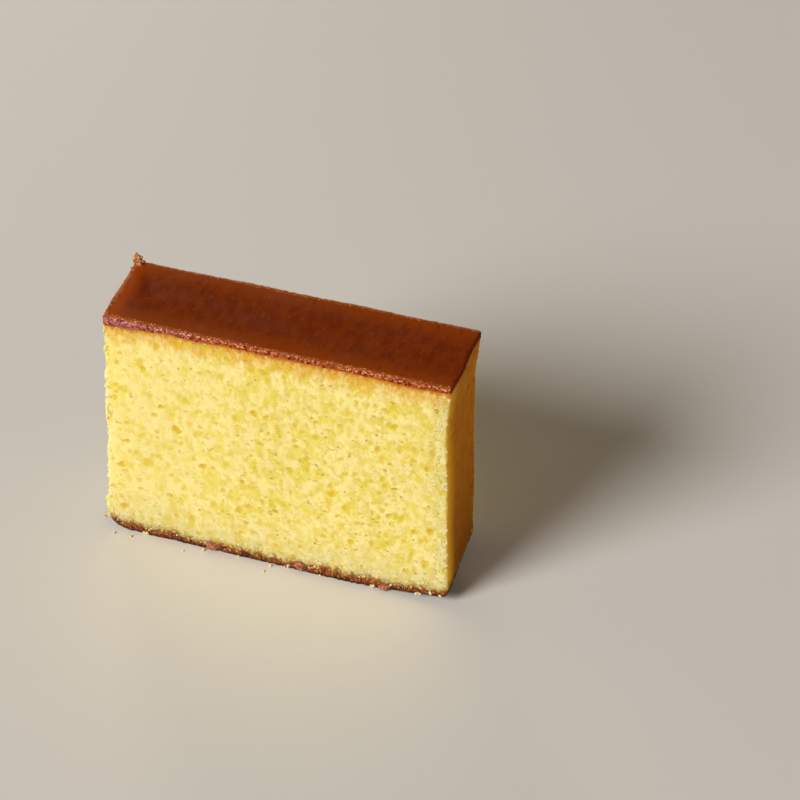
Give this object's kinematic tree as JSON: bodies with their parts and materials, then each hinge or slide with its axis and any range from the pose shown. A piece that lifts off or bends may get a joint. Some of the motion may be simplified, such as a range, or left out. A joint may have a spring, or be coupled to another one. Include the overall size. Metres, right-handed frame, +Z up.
{
  "type": "castella sponge cake slice",
  "caption": "Upright slice of honey-yellow castella sponge with a dark brown baked top and a thin brown base crust, standing on its base.",
  "frame": {"origin": "middle of the slice's outline, on the surface that it stands on", "axes": "+X along the broad cut side to its right end, -Y out of that side, +Z up through the top crust"},
  "size_m": [0.0972, 0.026, 0.0734],
  "materials": {
    "crumb": "matte, soft, finely pored yellow sponge",
    "top_crust": "satin, dark red-brown baked skin",
    "base_crust": "matte, thin ragged brown crust",
    "sugar": "rough grains of coarse sugar stained brown",
    "loose_crumb": "matte pale crumbs"
  },
  "bodies": {
    "root": {"castella_slice": "crumb"}
  },
  "joints": []
}
